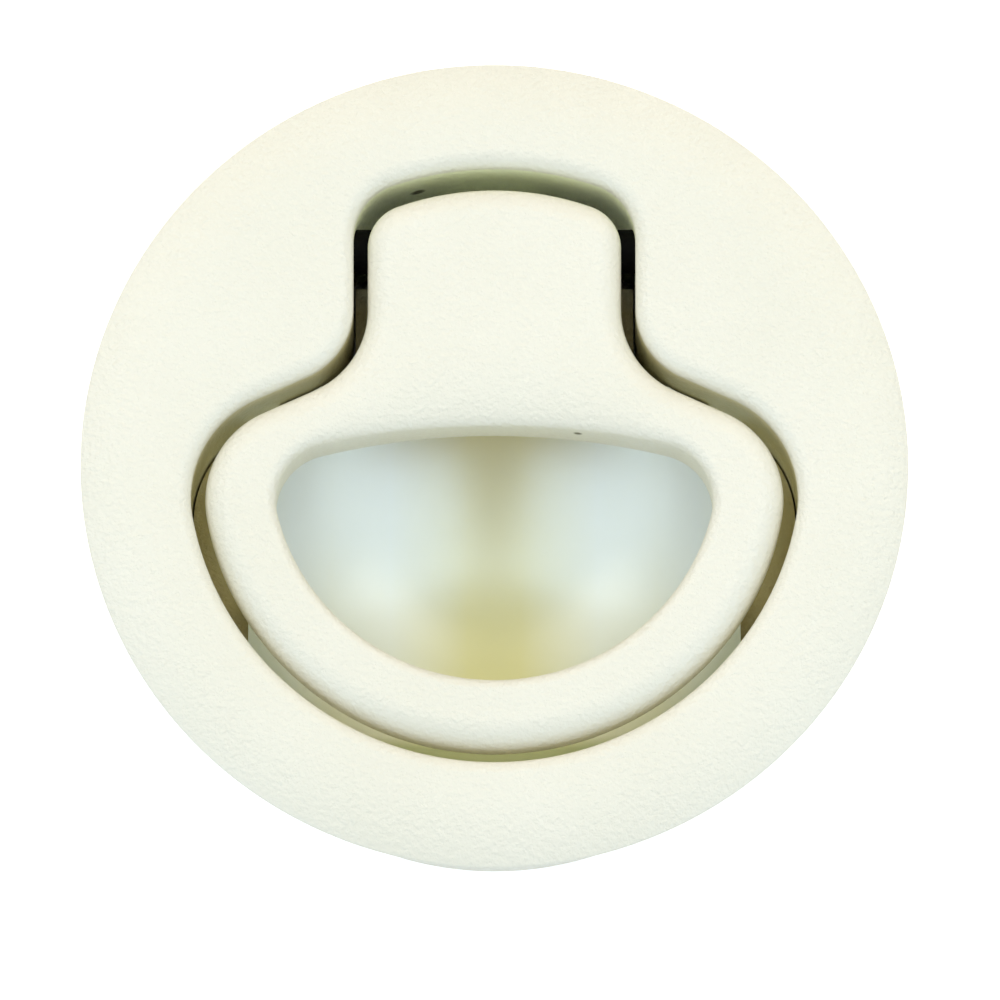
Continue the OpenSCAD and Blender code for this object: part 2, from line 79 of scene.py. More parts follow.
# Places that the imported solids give
HOUSING_LOW, HOUSING_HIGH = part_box("housing")
BOWL_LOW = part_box("finger_bowl")[0]
BOLT_LOW, BOLT_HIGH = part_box("latch_bolt")
NUT_LOW, NUT_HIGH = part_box("ring_nut")
GASKET_LOW, GASKET_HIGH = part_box("flange_gasket")
COVER_LOW, COVER_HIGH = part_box("back_cover")
PIN_LOW, PIN_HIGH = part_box("hinge_pin")
JOINTS = {joint["name"]: joint for joint in frame["joints"]}
HINGE = Vector(JOINTS["handle_pull"]["pos_m"])

# Housing
FACE_Z = HOUSING_HIGH.z
FLANGE_Z = GASKET_HIGH.z
BEZEL_R = HOUSING_HIGH.x
BARREL_R = COVER_HIGH.x
BARREL_END = HOUSING_LOW.z
BARREL_WALL = 1.3 * MM
BARREL_EDGE_R = 0.3 * MM
BORE_R = BARREL_R - BARREL_WALL
RECESS_STEP = 0.2 * MM
RECESS_R = BORE_R - RECESS_STEP
CHEEK_WALL = 1.8 * MM
RIM_T = 1.5 * MM
RIM_EDGE_R = 0.2 * MM
RIM_DRAFT = 0.45 * MM
RIM_FOOT_R = 0.25 * MM
CROWN_RISE = FACE_Z - FLANGE_Z - RIM_T
CROWN_W = 5.75 * MM
LIP_R = 1.3 * MM
FLOOR_T = 2 * MM

# Keyhole outline of the recess and the handle
SHOULDER_DIST = 12.3 * MM
SHOULDER_SLOPE = 24.4
SHOULDER_R = 8.6 * MM
NECK_HALF = 10.83 * MM
NECK_FILLET_R = 6 * MM
NECK_CORNER_R = 4.5 * MM

# Handle
HANDLE_GAP = 1.1 * MM
TAIL_GAP = 1.6 * MM
HANDLE_T = 5 * MM
HANDLE_BASE = FACE_Z - HANDLE_T
HANDLE_ROUND = 2.2 * MM
BASE_ROUND = 2 * MM
BASE_EDGE_R = 0.5 * MM
GRIP_W = 5.3 * MM
D_APEX_Y = 3.1 * MM
D_TOP_R = 55 * MM
D_CORNER_R = 4.6 * MM
D_EDGE = 1 * MM
ROLL_W = 6 * MM
ROLL_H = 1.6 * MM
PIN_R = (PIN_HIGH.z - PIN_LOW.z) / 2
PIN_PLAY = 0.05 * MM
LUG_R = 3.2 * MM
POCKET_R = LUG_R + 0.05 * MM
SKIRT_INSET = 0.3 * MM
HUB_W = 7.2 * MM
POCKET_W = 4.8 * MM
FINGER_W = 6.8 * MM
FINGER_T = 2.4 * MM
FINGER_LEN = 8.5 * MM
FINGER_TILT = 20

# Bowl and bolt
BOWL_CLEAR = 1 * MM
BOWL_DEPTH = 10.6 * MM
SIDE_POCKET_W = 4.6 * MM
BOWL_RIM = HANDLE_BASE - BOWL_CLEAR
BOWL_FLOOR = BOWL_RIM - BOWL_DEPTH
BOWL_HALF = RECESS_R - SIDE_POCKET_W
BOWL_WALL = 1.5 * MM
SCOOP_R = 27 * MM
SCOOP_Y = -3.2 * MM
SEAT_PLAY = 0.15 * MM
BOLT_H = 6 * MM
BOLT_LEN = 34 * MM
BOLT_TOP = BOLT_LOW.z + BOLT_H
BOLT_REAR = BOLT_HIGH.y - BOLT_LEN
BOLT_HALF = (BOLT_HIGH.x - BOLT_LOW.x) / 2
COVER_T = 3 * MM
COVER_TOP = COVER_LOW.z + COVER_T


# Outlines: lists of (point, outward normal) in the XY plane


def arc(centre, r, start, end, steps, side=1):
    """Points from one angle to another; side is -1 where the outline curves inwards."""
    turns = [math.radians(start + (end - start) * i / steps) for i in range(steps + 1)]
    ways = [Vector((math.cos(a), math.sin(a))) for a in turns]
    return [(centre + r * u, side * u) for u in ways]


def straight(start, end, normal, steps):
    """The points inside a straight stretch."""
    return [(start.lerp(end, i / steps), normal) for i in range(1, steps)]


def mirrored(half):
    """The right half of an outline, from bottom to top, closed by its mirror image."""
    flip = Vector((-1, 1))
    return half + [(p * flip, n * flip) for p, n in reversed(half[1:-1])]


ORIGIN = Vector((0, 0))
KEYHOLE_STEPS = {"round": 64, "bend": 28, "shoulder": 8, "fillet": 20, "neck": 8, "corner": 14, "end": 16}


def keyhole(gap, end_r, corner_r):
    """A round body, sloping shoulders and a straight neck, with the given gap to the recess."""
    steps = KEYHOLE_STEPS
    up = 90 - SHOULDER_SLOPE
    n = Vector((math.cos(math.radians(up)), math.sin(math.radians(up))))
    along = Vector((n.y, -n.x))
    round_r, bend_r = RECESS_R - gap, SHOULDER_R - gap
    fillet_r, half = NECK_FILLET_R + gap, NECK_HALF - gap
    rise = SHOULDER_DIST - gap - bend_r
    bend = rise * n + math.sqrt((round_r - bend_r) ** 2 - rise**2) * along
    bend_from = math.degrees(math.atan2(bend.y, bend.x))
    fillet_x = half + fillet_r
    fillet = Vector((fillet_x, (SHOULDER_DIST - gap + fillet_r - fillet_x * n.x) / n.y))
    corner = Vector((half - corner_r, math.sqrt((end_r - corner_r) ** 2 - (half - corner_r) ** 2)))
    corner_to = math.degrees(math.atan2(corner.y, corner.x))
    bends = arc(bend, bend_r, bend_from, up, steps["bend"])
    fillets = arc(fillet, fillet_r, up + 180, 180, steps["fillet"], -1)
    corners = arc(corner, corner_r, 0, corner_to, steps["corner"])
    return mirrored(
        arc(ORIGIN, round_r, -90, bend_from, steps["round"])
        + bends[1:]
        + straight(bends[-1][0], fillets[0][0], n, steps["shoulder"])
        + fillets
        + straight(fillets[-1][0], corners[0][0], Vector((1, 0)), steps["neck"])
        + corners
        + arc(ORIGIN, end_r, corner_to, 90, steps["end"])[1:]
    )


def d_opening():
    """A round lower edge and a flatter upper edge."""
    low_r = RECESS_R - HANDLE_GAP - GRIP_W
    top_y = D_APEX_Y - D_TOP_R
    reach, span = low_r - D_CORNER_R, D_TOP_R - D_CORNER_R
    y = (span**2 - reach**2 - top_y**2) / (-2 * top_y)
    corner = Vector((math.sqrt(reach**2 - y**2), y))
    corner_from = math.degrees(math.atan2(corner.y, corner.x))
    corner_to = math.degrees(math.atan2(corner.y - top_y, corner.x))
    return mirrored(
        arc(ORIGIN, low_r, -90, corner_from, 64)
        + arc(corner, D_CORNER_R, corner_from, corner_to, 32)[1:]
        + arc(Vector((0, top_y)), D_TOP_R, corner_to, 90, 48)[1:]
    )


def level(outline, d, z):
    """The outline moved outwards by d, at height z."""
    return [(p + d * n).to_3d() + Vector((0, 0, z)) for p, n in outline]


def round_level(outline, r, z):
    """A circle at height z, with a point in the direction of each point of the outline."""
    return [(p.normalized() * r).to_3d() + Vector((0, 0, z)) for p, _ in outline]


def quarter(steps):
    """(share across, share up) along a quarter circle, from its upright end to its level end."""
    turns = [math.pi / 2 * i / steps for i in range(steps + 1)]
    return [(1 - math.cos(a), math.sin(a)) for a in turns]


# Mesh building


def mesh_object(name, points, faces):
    mesh = bpy.data.meshes.new(name)
    mesh.from_pydata([tuple(p) for p in points], [], faces)
    mesh.update()
    piece = bpy.data.objects.new(name, mesh)
    bpy.context.scene.collection.objects.link(piece)
    return piece


def skin(name, rings, loop=False):
    """A solid over rings of points that run anticlockwise round the way they are stacked."""
    count, rows = len(rings[0]), len(rings)
    faces = []
    for k in range(rows if loop else rows - 1):
        low, high = k * count, (k + 1) % rows * count
        for i in range(count):
            j = (i + 1) % count
            faces.append((low + i, low + j, high + j, high + i))
    if not loop:
        faces.append(tuple(reversed(range(count))))
        faces.append(tuple((rows - 1) * count + i for i in range(count)))
    return mesh_object(name, [p for ring in rings for p in ring], faces)


def turn_ring(r, z, segments):
    turns = [2 * math.pi * i / segments for i in range(segments)]
    return [Vector((r * math.cos(a), r * math.sin(a), z)) for a in turns]


def lathe(name, profile, segments, loop=False):
    """A turned solid about Z from (radius, height) points that run upwards on the outside."""
    return skin(name, [turn_ring(r, z, segments) for r, z in profile], loop)


def rounded(corners, steps=5):
    """A profile from (x, y, fillet radius) corners."""
    points = []
    for i, (x, y, r) in enumerate(corners):
        here = Vector((x, y))
        before = (Vector(corners[i - 1][:2]) - here).normalized()
        after = (Vector(corners[(i + 1) % len(corners)][:2]) - here).normalized()
        if r == 0:
            points.append(here)
            continue
        half = before.angle(after) / 2
        centre = here + (before + after).normalized() * r / math.sin(half)
        start = here + before * r / math.tan(half) - centre
        sweep = start.angle_signed(here + after * r / math.tan(half) - centre)
        points += [centre + Matrix.Rotation(-sweep * k / steps, 2) @ start for k in range(steps + 1)]
    return [tuple(p) for p in points]


def prism(name, outline, low, high):
    """An outline of XY points, extruded along Z."""
    return skin(name, [[Vector((x, y, z)) for x, y in outline] for z in (low, high)])


def box(name, low, high):
    outline = [(low[0], low[1]), (high[0], low[1]), (high[0], high[1]), (low[0], high[1])]
    return prism(name, outline, low[2], high[2])


def place(piece, matrix):
    piece.data.transform(matrix)
    return piece


def rod(name, r, start, end, segments=96):
    """A cylinder between two points."""
    start, end = Vector(start), Vector(end)
    way = end - start
    piece = lathe(name, [(r, 0), (r, way.length)], segments)
    turn = way.to_track_quat("Z", "X").to_matrix().to_4x4()
    return place(piece, Matrix.Translation(start) @ turn)


def combine(piece, tool, operation):
    """Adds or takes away a solid, which is then removed."""
    modifier = piece.modifiers.new("combine", "BOOLEAN")
    modifier.operation = operation
    modifier.solver = "MANIFOLD"
    modifier.object = tool
    bpy.context.view_layer.update()
    graph = bpy.context.evaluated_depsgraph_get()
    made = bpy.data.meshes.new_from_object(piece.evaluated_get(graph))
    piece.modifiers.clear()
    old = piece.data
    piece.data = made
    bpy.data.meshes.remove(old)
    bpy.data.meshes.remove(tool.data)
    made.name = piece.name
    return piece


def add(piece, tool):
    return combine(piece, tool, "UNION")


def cut(piece, tool):
    return combine(piece, tool, "DIFFERENCE")


def keep_inside(piece, tool):
    return combine(piece, tool, "INTERSECT")


def wire(name, path, up, r, sides=14):
    """A round wire along a path that never runs along up."""
    rings = []
    last = len(path) - 1
    for i, p in enumerate(path):
        t = (path[min(i + 1, last)] - path[max(i - 1, 0)]).normalized()
        n = up.cross(t).normalized()
        b = t.cross(n)
        turns = [2 * math.pi * k / sides for k in range(sides)]
        rings.append([p + r * (math.cos(a) * n + math.sin(a) * b) for a in turns])
    return skin(name, rings)


def smooth(piece, angle):
    piece.data.shade_smooth()
    piece.data.set_sharp_from_angle(angle=math.radians(angle))
    return piece


def dress(piece, node, body, material, angle=32):
    """The finished piece stands for a CAD node and moves with its body."""
    smooth(piece, angle)
    piece.data.materials.clear()
    piece.data.materials.append(material)
    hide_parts(node)
    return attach(piece, body) if body else piece


# Materials


class Nodes:
    """A new material's node tree, with short calls for the nodes used here."""

    def __init__(self, name):
        self.material = bpy.data.materials.new(name)
        self.material.use_nodes = True
        self.tree = self.material.node_tree
        self.bsdf = self.tree.nodes["Principled BSDF"]
        self.coords = self.tree.nodes.new("ShaderNodeTexCoord").outputs["Object"]

    def link(self, source, target):
        self.tree.links.new(source, target)

    def noise(self, scale, detail=2.0, roughness=0.5, stretch=None):
        node = self.tree.nodes.new("ShaderNodeTexNoise")
        node.inputs["Scale"].default_value = scale
        node.inputs["Detail"].default_value = detail
        node.inputs["Roughness"].default_value = roughness
        vector = self.coords
        if stretch:
            mapping = self.tree.nodes.new("ShaderNodeMapping")
            mapping.inputs["Scale"].default_value = stretch
            self.link(self.coords, mapping.inputs["Vector"])
            vector = mapping.outputs["Vector"]
        self.link(vector, node.inputs["Vector"])
        return node.outputs["Fac"]

    def ramp(self, value, low, high, at=(0.35, 0.65)):
        node = self.tree.nodes.new("ShaderNodeValToRGB")
        for element, place, colour in zip(node.color_ramp.elements, at, (low, high)):
            element.position = place
            element.color = (*colour, 1)
        self.link(value, node.inputs["Fac"])
        return node.outputs["Color"]

    def span(self, value, low, high, at=(0.3, 0.7)):
        node = self.tree.nodes.new("ShaderNodeMapRange")
        node.inputs["From Min"].default_value, node.inputs["From Max"].default_value = at
        node.inputs["To Min"].default_value, node.inputs["To Max"].default_value = low, high
        self.link(value, node.inputs["Value"])
        return node.outputs["Result"]

    def both(self, one, other):
        node = self.tree.nodes.new("ShaderNodeMath")
        node.operation = "MULTIPLY"
        self.link(one, node.inputs[0])
        self.link(other, node.inputs[1])
        return node.outputs["Value"]

    def length(self, across):
        """Distance from the origin along the axes whose share is 1."""
        flat = self.tree.nodes.new("ShaderNodeVectorMath")
        flat.operation = "MULTIPLY"
        flat.inputs[1].default_value = across
        self.link(self.coords, flat.inputs[0])
        reach = self.tree.nodes.new("ShaderNodeVectorMath")
        reach.operation = "LENGTH"
        self.link(flat.outputs["Vector"], reach.inputs[0])
        return reach.outputs["Value"]

    def inside(self, r, top, along, fade):
        """1 inside a radius about Z, below a height and up to a place along Y, with soft bounds."""
        split = self.tree.nodes.new("ShaderNodeSeparateXYZ")
        self.link(self.coords, split.inputs["Vector"])
        near = self.span(self.length((1, 1, 0)), 1, 0, (r, r + fade))
        low = self.span(split.outputs["Z"], 1, 0, (top - fade, top))
        return self.both(self.both(near, low), self.span(split.outputs["Y"], 1, 0, along))

    def middle(self, start, end):
        """1 near the plane between left and right, 0 beyond the second distance."""
        return self.span(self.length((1, 0, 0)), 1, 0, (start, end))

    def fleck(self, centre, r):
        """1 at a point, 0 beyond a distance from it."""
        node = self.tree.nodes.new("ShaderNodeVectorMath")
        node.operation = "DISTANCE"
        node.inputs[1].default_value = centre
        self.link(self.coords, node.inputs[0])
        return self.span(node.outputs["Value"], 1, 0, (r / 2, r))

    def blend(self, share, low, high):
        node = self.tree.nodes.new("ShaderNodeMix")
        node.data_type = "RGBA"
        self.link(share, node.inputs["Factor"])
        for socket, colour in zip([s for s in node.inputs if s.type == "RGBA"], (low, high)):
            self.link(colour, socket)
        return next(s for s in node.outputs if s.type == "RGBA")

    def bump(self, height, distance, below=None):
        node = self.tree.nodes.new("ShaderNodeBump")
        node.inputs["Distance"].default_value = distance
        self.link(height, node.inputs["Height"])
        if below:
            self.link(below, node.inputs["Normal"])
        return node.outputs["Normal"]


def moulded(name, shades, gloss, grain_scale, grain_height, wave_height, zones=()):
    """Moulded plastic: slow changes of shade, zones by place with painted shade and painted light, flecks, a fine
    grain and a slight unevenness.
    """
    n = Nodes(name)
    slow = n.noise(70, 3)
    colour = n.ramp(slow, *shades)
    for share, place, other in zones:
        colour = n.blend(getattr(n, share)(*place), colour, n.ramp(slow, *other))
    n.link(colour, n.bsdf.inputs["Base Color"])
    grain = n.noise(grain_scale, 2, 0.6)
    n.link(n.span(grain, *gloss), n.bsdf.inputs["Roughness"])
    waves = n.bump(n.noise(160, 1), wave_height)
    n.link(n.bump(grain, grain_height, below=waves), n.bsdf.inputs["Normal"])
    return n.material


def drawn_steel():
    n = Nodes("drawn_steel")
    lines = n.noise(1500, 2, stretch=(0.2, 1, 1))
    n.link(n.ramp(lines, (0.5, 0.51, 0.53), (0.66, 0.67, 0.69)), n.bsdf.inputs["Base Color"])
    n.link(n.span(lines, 0.22, 0.38), n.bsdf.inputs["Roughness"])
    n.link(n.bump(lines, 0.004 * MM), n.bsdf.inputs["Normal"])
    n.bsdf.inputs["Metallic"].default_value = 1
    return n.material


def gasket_rubber():
    n = Nodes("gasket_rubber")
    cells = n.noise(2600, 3, 0.7)
    n.link(n.ramp(cells, (0.012, 0.012, 0.013), (0.035, 0.035, 0.037)), n.bsdf.inputs["Base Color"])
    n.link(n.bump(cells, 0.05 * MM), n.bsdf.inputs["Normal"])
    n.bsdf.inputs["Roughness"].default_value = 0.8
    return n.material


SHELF_PLAY = 1.2 * MM
SHELF_LOW = BOLT_HIGH.z + SHELF_PLAY
SHELF_TOP = SHELF_LOW + FLOOR_T

# Zones of painted shade and painted light, then real flecks: (what gives the zone's share, its place, its shades)
ZONE_FADE = 0.5 * MM
GAP_PLACE = RECESS_R + 0.1 * MM, FACE_Z - LIP_R
# Painted shade: olive-brown darkening of the housing's recess walls deep in the gap round the handle.
RECESS_PAINTED_SHADE = (
    "inside",
    (*GAP_PLACE, (10 * MM, 15 * MM), ZONE_FADE),
    ((0.68, 0.61, 0.34), (0.72, 0.65, 0.37)),
)
# Painted light and shade: the recess back wall and the handle's tail, deep in the shaded gap behind the tail, are
# paler with an olive cast, as if lit in there.
BACK_WALL_PAINTED_LIGHT = (
    "inside",
    (*GAP_PLACE, (19 * MM, 16 * MM), ZONE_FADE),
    ((0.98, 0.99, 0.7), (0.99, 1, 0.73)),
)
# Painted shade: brown-olive darkening of the bowl's flange, seen deep in the gaps round the handle.
FLANGE_PAINTED_SHADE = (
    "inside",
    (BEZEL_R, SHELF_TOP + 0.8 * MM, (14 * MM, 18 * MM), ZONE_FADE),
    ((0.68, 0.57, 0.25), (0.72, 0.61, 0.28)),
)
# Painted shade: a saturated yellow band down the middle of the scoop, for the shade and bounced light there.
SCOOP_MIDDLE_PAINTED_SHADE = "middle", (2 * MM, 8 * MM), ((0.97, 0.84, 0.24), (0.99, 0.87, 0.28))
# Painted sheen: the scoop's far left and right are near white and bluish, for the reflection of the side lamps.
SCOOP_SIDE_PAINTED_SHEEN = "middle", (15.5 * MM, 12.5 * MM), ((0.97, 0.99, 0.93), (0.98, 1, 0.95))
# Painted shadow: dark olive on the scoop's near end, under the handle's ring.
SCOOP_END_PAINTED_SHADOW = (
    "inside",
    (BEZEL_R, FACE_Z, (-20.4 * MM, -19.4 * MM), MM),
    ((0.5, 0.52, 0.2), (0.54, 0.56, 0.23)),
)
FLECK_SHADES = (0.1, 0.08, 0.03), (0.14, 0.11, 0.05)
WALL_FLECK = "fleck", ((-5.9 * MM, 22.75 * MM, FACE_Z - 5.7 * MM), 0.7 * MM), FLECK_SHADES
EDGE_FLECK = "fleck", ((6.4 * MM, 2.72 * MM, FACE_Z - 2.3 * MM), 0.4 * MM), FLECK_SHADES

# Grains: (range of roughness), scale of the grain, height of the grain, height of the waves
IVORY_GRAIN = (0.3, 0.46), 2500, 0.15 * MM, 0.01 * MM
BOWL_GRAIN = (0.29, 0.34), 2500, 0.002 * MM, 0.01 * MM
BLACK_GRAIN = (0.5, 0.65), 2800, 0.008 * MM, 0.01 * MM

IVORY_SHADES = (0.83, 0.795, 0.68), (0.85, 0.815, 0.705)
# Painted light: the bowl body's shades are a paler, bluer copy of the ivory, to brighten its rim in the ring's
# shadow.
BODY_PAINTED_LIGHT_SHADES = (0.95, 0.97, 0.88), (0.97, 0.99, 0.91)
BOWL_SHADES = (0.95, 0.92, 0.7), (0.97, 0.94, 0.74)
BLACK_SHADES = (0.002, 0.002, 0.002), (0.005, 0.005, 0.005)

IVORY = moulded("ivory_plastic", IVORY_SHADES, *IVORY_GRAIN)
HANDLE_IVORY = moulded("handle_plastic", IVORY_SHADES, *IVORY_GRAIN, [BACK_WALL_PAINTED_LIGHT, EDGE_FLECK])
RECESS_IVORY = moulded("recess_plastic", IVORY_SHADES, *IVORY_GRAIN, [RECESS_PAINTED_SHADE, BACK_WALL_PAINTED_LIGHT, WALL_FLECK])
BODY_IVORY = moulded("bowl_body_plastic", BODY_PAINTED_LIGHT_SHADES, *IVORY_GRAIN, [FLANGE_PAINTED_SHADE])
for ivory in (IVORY, HANDLE_IVORY, RECESS_IVORY, BODY_IVORY):
    sheen = ivory.node_tree.nodes["Principled BSDF"].inputs
    sheen["Specular IOR Level"].default_value = 0.8
    sheen["Specular Tint"].default_value = (0.75, 0.9, 1, 1)
BOWL_IVORY = moulded("bowl_plastic", BOWL_SHADES, *BOWL_GRAIN, [SCOOP_MIDDLE_PAINTED_SHADE, SCOOP_SIDE_PAINTED_SHEEN, SCOOP_END_PAINTED_SHADOW])
BOWL_GLOSS = BOWL_IVORY.node_tree.nodes["Principled BSDF"].inputs
BOWL_GLOSS["IOR"].default_value = 2.6
BOWL_GLOSS["Specular IOR Level"].default_value = 1
BOWL_GLOSS["Specular Tint"].default_value = (0.78, 0.9, 1, 1)
BLACK = moulded("black_plastic", BLACK_SHADES, *BLACK_GRAIN)
BLACK.node_tree.nodes["Principled BSDF"].inputs["Specular IOR Level"].default_value = 0.05
STEEL = drawn_steel()
RUBBER = gasket_rubber()


# Housing: bezel with rolled recess edge, threaded barrel, floor ledge and screw bosses

CHEEK_Z = SHELF_LOW - FLOOR_T
THREAD_PITCH = 2 * MM
THREAD_DEPTH = 0.55 * MM
THREAD_TOP = -3 * MM
THREAD_END = -17 * MM
THREAD_STEP = 0.25 * MM
THREAD_CREST = 0.3
THREAD_FLANK = 0.4
LIP_STEPS = 12
CROWN_STEPS = 14
EDGE_STEPS = 5
CUT = 1 * MM
BOSS_R = 3.1 * MM
SCREW_R = 1.35 * MM
PILOT_DEPTH = 7.5 * MM
REAR_BOSS_R = BORE_R - BOSS_R + 0.65 * MM
REAR_BOSS_TURN = math.radians(-52.5)
FRONT_BOSS = Vector((BORE_R - 8.5 * MM, HINGE.y - PIN_R - BOSS_R - 0.2 * MM))
REAR_BOSS = REAR_BOSS_R * Vector((math.cos(REAR_BOSS_TURN), math.sin(REAR_BOSS_TURN)))
BOSSES = [Vector((side * p.x, p.y)) for p in (FRONT_BOSS, REAR_BOSS) for side in SIDES]
LEDGE_START = HINGE.y + 2.2 * MM
SHELF_END = HINGE.y - 1.8 * MM
FINGER_PLAY = 1.3 * MM
SLIDE_PLAY = 0.25 * MM


def thread_level(outline, z):
    """A ring of the barrel, with a helical groove between the thread's ends."""
    fade = min(1, max(0, (THREAD_TOP - z) / MM), max(0, (z - THREAD_END) / MM))
    ring = []
    for p, _ in outline:
        turn = math.atan2(p.y, p.x) / (2 * math.pi)
        phase = abs((z / THREAD_PITCH - turn) % 1 * 2 - 1)
        groove = min(1, max(0, (phase - THREAD_CREST) / THREAD_FLANK))
        r = BARREL_R - THREAD_DEPTH * fade * groove
        ring.append((p.normalized() * r).to_3d() + Vector((0, 0, z)))
    return ring


def bezel_rings(outline):
    """From the foot of the recess wall, over lip, face, crown and rim, to the flange's underside."""
    flat_r = BEZEL_R - CROWN_W
    crown_r = (CROWN_W**2 + CROWN_RISE**2) / (2 * CROWN_RISE)
    edge = RIM_EDGE_R
    sweep = math.asin((CROWN_W - edge) / (crown_r - edge))
    edge_z = FACE_Z - crown_r + (crown_r - edge) * math.cos(sweep)
    rings = [level(outline, 0, CHEEK_Z)]
    rings += [level(outline, LIP_R * x, FACE_Z - LIP_R * (1 - z)) for x, z in quarter(LIP_STEPS)]
    for i in range(CROWN_STEPS + 1):
        a = sweep * i / CROWN_STEPS
        r, z = flat_r + crown_r * math.sin(a), FACE_Z - crown_r * (1 - math.cos(a))
        rings.append(round_level(outline, r, z))
    for i in range(1, EDGE_STEPS + 1):
        a = sweep + (math.pi / 2 - sweep) * i / EDGE_STEPS
        r, z = BEZEL_R - edge * (1 - math.sin(a)), edge_z + edge * math.cos(a)
        rings.append(round_level(outline, r, z))
    foot = RIM_FOOT_R
    side = BEZEL_R - RIM_DRAFT
    rings += [round_level(outline, side - foot * x, FLANGE_Z + foot * (1 - z)) for x, z in quarter(4)]
    return rings


def make_housing():
    outline = keyhole(0, RECESS_R, NECK_CORNER_R)
    rows = int((THREAD_TOP - THREAD_END) / THREAD_STEP)
    rings = bezel_rings(outline)
    rings.append(round_level(outline, BARREL_R, FLANGE_Z))
    rings += [thread_level(outline, THREAD_TOP - i * THREAD_STEP) for i in range(rows + 1)]
    edge = BARREL_EDGE_R
    rings += [round_level(outline, BARREL_R - edge * x, BARREL_END + edge * (1 - z)) for x, z in quarter(4)]
    rings += [round_level(outline, BORE_R, z) for z in (BARREL_END, CHEEK_Z)]
    rings.reverse()
    piece = skin("moulded_housing", rings, loop=True)
    core_top = FACE_Z - FLOOR_T
    cores = rod("cores", BORE_R - 0.01 * MM, (0, 0, CHEEK_Z - CUT), (0, 0, core_top), 192)
    cheeks = [level(outline, CHEEK_WALL, z) for z in (CHEEK_Z - 2 * CUT, core_top + CUT)]
    cut(cores, skin("keep", cheeks))
    cut(piece, cores)
    ledge = rod("ledge", BORE_R + 0.6 * MM, (0, 0, CHEEK_Z), (0, 0, SHELF_LOW), 192)
    low, high = CHEEK_Z - CUT, SHELF_LOW + CUT
    keep_inside(ledge, box("window", (-BARREL_R, LEDGE_START, low), (BARREL_R, BARREL_R, high)))
    reach = FINGER_W / 2 + FINGER_PLAY
    cut(ledge, box("notch", (-reach, 0, low), (reach, BORE_R - CUT, high)))
    add(piece, ledge)
    rear_top = BOWL_FLOOR - BOWL_WALL - 0.8 * MM
    for p in BOSSES:
        top = core_top + FLOOR_T / 2 if p.y > 0 else rear_top
        boss = rod("boss", BOSS_R, (p.x, p.y, BARREL_END), (p.x, p.y, top), 64)
        wall = rod("wall", BARREL_R - 0.75 * MM, (0, 0, BARREL_END - CUT), (0, 0, FACE_Z), 192)
        add(piece, keep_inside(boss, wall))
        pilot_top = BARREL_END + PILOT_DEPTH
        cut(piece, rod("pilot", SCREW_R, (p.x, p.y, BARREL_END - CUT), (p.x, p.y, pilot_top), 48))
    half, slot_top = BOLT_HALF + SLIDE_PLAY, BOLT_TOP + SLIDE_PLAY
    cut(piece, box("slot", (-half, LEDGE_START, BARREL_END - CUT), (half, BARREL_R + CUT, slot_top)))
    cut(piece, rod("pin_hole", PIN_R, (-BARREL_R, HINGE.y, HINGE.z), (BARREL_R, HINGE.y, HINGE.z), 64))
    return dress(piece, "housing", "housing_body", RECESS_IVORY)


# Pull handle: D ring and neck with rolled edges, hinge lugs and drive finger


def roll_share(p, n):
    """Share of the roll-off at a point of the D opening: full at the top, none at the corners and below."""
    reach = RECESS_R - HANDLE_GAP - GRIP_W - D_EDGE
    return 0 if n.y < 0 else math.cos(math.pi / 2 * min(1, abs(p.x) / reach)) ** 2


def d_edge_level(opening, turn):
    """The edge of the D opening; turn is 0 on the face and 90 degrees on the wall."""
    ring = []
    for p, n in opening:
        share = roll_share(p, n)
        w = D_EDGE + share * (ROLL_W - D_EDGE)
        h = D_EDGE + share * (ROLL_H - D_EDGE)
        q = p + w * (1 - math.sin(turn)) * n
        ring.append(Vector((q.x, q.y, FACE_Z - h * (1 - math.cos(turn)))))
    return ring


def hinge_rod(name, r, start, end, segments=96):
    return rod(name, r, (start, HINGE.y, HINGE.z), (end, HINGE.y, HINGE.z), segments)


